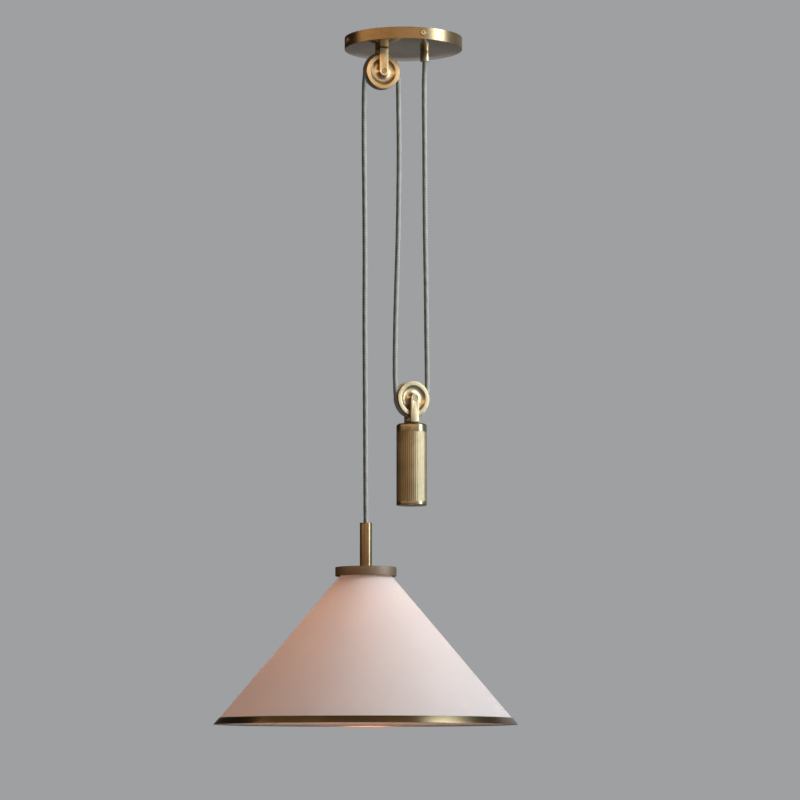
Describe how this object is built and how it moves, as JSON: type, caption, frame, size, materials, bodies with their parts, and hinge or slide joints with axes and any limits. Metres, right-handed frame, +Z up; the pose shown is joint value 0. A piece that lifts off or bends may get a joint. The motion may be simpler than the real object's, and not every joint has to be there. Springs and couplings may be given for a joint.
{
  "type": "rise and fall pendant lamp",
  "caption": "Pendant lamp with a conical linen shade hung on a fabric cord that runs over a canopy pulley and round a pulley on a fluted counterweight, so the shade rises and falls.",
  "frame": {"origin": "centre of the canopy's mounting plate, on the ceiling", "axes": "+Z up through the ceiling, +X from the upper pulley to the cord grip, +Y away from the viewer"},
  "size_m": [0.4059, 0.406, 0.931],
  "materials": {
    "satin_brass": "satin",
    "pale_brass": "satin",
    "contact_brass": "satin",
    "bronze": "satin",
    "zinc_steel": "satin",
    "bulb_metal": "satin",
    "cord_fabric": "matte",
    "wire_insulation": "satin",
    "linen": "matte",
    "white_ceramic": "satin",
    "opal_glass": "satin",
    "black_plastic": "matte"
  },
  "bodies": {
    "canopy": {"canopy_shell": "satin_brass", "mounting_plate": "zinc_steel", "canopy_side_screws": "pale_brass", "terminal_block": "white_ceramic", "terminal_screws": "zinc_steel", "terminal_fixing_screws": "zinc_steel", "earth_screw": "contact_brass", "cord_grip_tube": "pale_brass", "grip_set_screw": "zinc_steel", "grip_locknut": "zinc_steel", "cord_tail": "cord_fabric", "cord_cores": "wire_insulation", "upper_yoke": "satin_brass", "upper_yoke_bolt": "zinc_steel", "upper_yoke_nut": "zinc_steel", "upper_axle": "zinc_steel", "upper_axle_nut": "pale_brass", "upper_spacers": "zinc_steel", "cord_over_upper_wheel": "cord_fabric", "cord_to_shade": "cord_fabric", "cord_middle_run": "cord_fabric", "cord_to_canopy": "cord_fabric"},
    "upper_wheel": {"upper_wheel": "pale_brass", "upper_wheel_bush": "bronze"},
    "counterweight": {"lower_yoke": "pale_brass", "lower_yoke_bolt": "zinc_steel", "lower_axle": "zinc_steel", "lower_axle_nut": "pale_brass", "lower_spacers": "zinc_steel", "weight_collar": "satin_brass", "weight_top_cap": "satin_brass", "weight_shell": "satin_brass", "weight_ballast": "zinc_steel", "weight_bottom_cap": "satin_brass", "cord_under_lower_wheel": "cord_fabric"},
    "lower_wheel": {"lower_wheel": "pale_brass", "lower_wheel_bush": "bronze"},
    "shade": {"stem_tube": "satin_brass", "stem_top_bush": "pale_brass", "stem_bottom_bush": "zinc_steel", "cord_in_stem": "cord_fabric", "cord_stop": "black_plastic", "holder_cores": "wire_insulation", "nipple": "zinc_steel", "nipple_nuts": "zinc_steel", "shade_cap": "satin_brass", "shade_carrier": "zinc_steel", "shade_cone": "linen", "shade_rim_band": "satin_brass", "holder_cap": "satin_brass", "holder_insert": "white_ceramic", "holder_screw_shell": "contact_brass", "holder_contact": "contact_brass", "holder_skirt": "satin_brass", "bulb_glass": "opal_glass", "bulb_base": "bulb_metal", "bulb_tip": "black_plastic"}
  },
  "joints": [
    {"name": "shade_travel", "type": "slide", "parent": "canopy", "child": "shade", "axis": [0, 0, 1], "range_m": [-0.5, 0.06], "deforming": ["cord_to_shade"]},
    {"name": "counterweight_travel", "type": "slide", "parent": "canopy", "child": "counterweight", "axis": [0, 0, 1], "range_m": [-0.03, 0.25], "deforming": ["cord_middle_run", "cord_to_canopy"]},
    {"name": "upper_wheel_spin", "type": "hinge", "parent": "canopy", "child": "upper_wheel", "pos_m": [-0.031, 0, -0.0487], "axis": [0, 1, 0], "range_deg": [-1225, 150]},
    {"name": "lower_wheel_spin", "type": "hinge", "parent": "counterweight", "child": "lower_wheel", "pos_m": [0.01175, 0, -0.493], "axis": [-0.1392, 0.9903, 0], "range_deg": [-75, 615]}
  ],
  "couplings": [
    {"joint": "counterweight_travel", "follows": "shade_travel", "ratio": -0.5},
    {"joint": "upper_wheel_spin", "follows": "shade_travel", "rad_per_m": 42.553},
    {"joint": "lower_wheel_spin", "follows": "shade_travel", "rad_per_m": -21.277}
  ]
}
